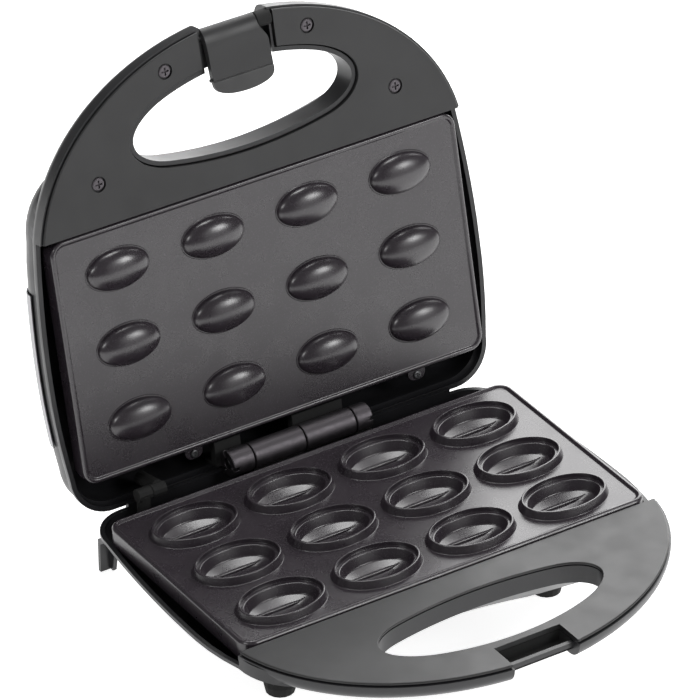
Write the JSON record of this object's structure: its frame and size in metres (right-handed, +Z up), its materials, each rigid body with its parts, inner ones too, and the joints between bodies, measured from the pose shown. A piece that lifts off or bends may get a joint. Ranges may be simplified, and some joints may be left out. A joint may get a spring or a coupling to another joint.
{
  "type": "walnut cookie mold",
  "caption": "Electric clamshell baker whose hinged lid presses domes into oval walnut-shell cavities, with ring handles and a latch.",
  "frame": {"origin": "bottom centre of the opened baker, on the table between the front feet and the rear legs", "axes": "+X to the right, +Y back towards the hinge and the opened lid, +Z up; the handle points to -Y"},
  "size_m": [0.2258, 0.2634, 0.2453],
  "materials": {
    "black_plastic": "moulded, semi-gloss black",
    "cover_plastic": "moulded, satin dark grey",
    "nonstick_coating": "die-cast with a dark speckled non-stick coating",
    "brushed_steel": "brushed",
    "plated_steel": "zinc plated",
    "blackened_steel": "blackened",
    "foot_rubber": "matt",
    "ceramic": "unglazed",
    "red_lens": "clear red",
    "green_lens": "clear green",
    "lamp_glass": "clear"
  },
  "bodies": {
    "base": {"front_foot_left": "foot_rubber", "front_foot_right": "foot_rubber", "hinge_pin": "plated_steel", "inlet_bushing": "black_plastic", "link_sleeve_lower": "foot_rubber", "lower_cover_screw_1": "plated_steel", "lower_cover_screw_2": "plated_steel", "lower_cover_screw_3": "plated_steel", "lower_cover_screw_4": "plated_steel", "lower_handle_cover": "cover_plastic", "lower_heating_element": "plated_steel", "lower_hinge_leaf": "blackened_steel", "lower_plate": "nonstick_coating", "lower_plate_screw_1": "plated_steel", "lower_plate_screw_2": "plated_steel", "lower_reflector": "brushed_steel", "lower_shell": "black_plastic", "lower_thermostat": "ceramic", "rear_leg_left": "black_plastic", "rear_leg_right": "black_plastic", "terminal_block": "ceramic", "thermal_fuse": "ceramic"},
    "lid": {"latch_axle": "plated_steel", "link_sleeve_upper": "foot_rubber", "power_lamp": "lamp_glass", "power_lens": "red_lens", "ready_lamp": "lamp_glass", "ready_lens": "green_lens", "upper_cover_screw_1": "blackened_steel", "upper_cover_screw_2": "blackened_steel", "upper_cover_screw_3": "blackened_steel", "upper_cover_screw_4": "blackened_steel", "upper_handle_cover": "cover_plastic", "upper_heating_element": "plated_steel", "upper_hinge_leaf": "blackened_steel", "upper_panel": "brushed_steel", "upper_plate": "nonstick_coating", "upper_plate_screw_1": "plated_steel", "upper_plate_screw_2": "plated_steel", "upper_reflector": "brushed_steel", "upper_shell": "black_plastic", "upper_thermostat": "ceramic"},
    "latch_arm": {"latch": "black_plastic"}
  },
  "joints": [
    {"name": "lid_hinge", "type": "hinge", "parent": "base", "child": "lid", "pos_m": [0, 0.06755, 0.0517], "axis": [1, 0, 0], "range_deg": [0, 102.8]},
    {"name": "latch_swing", "type": "hinge", "parent": "lid", "child": "latch_arm", "pos_m": [0, 0.11552, 0.24026], "axis": [1, 0, 0], "range_deg": [-135, 0]}
  ]
}
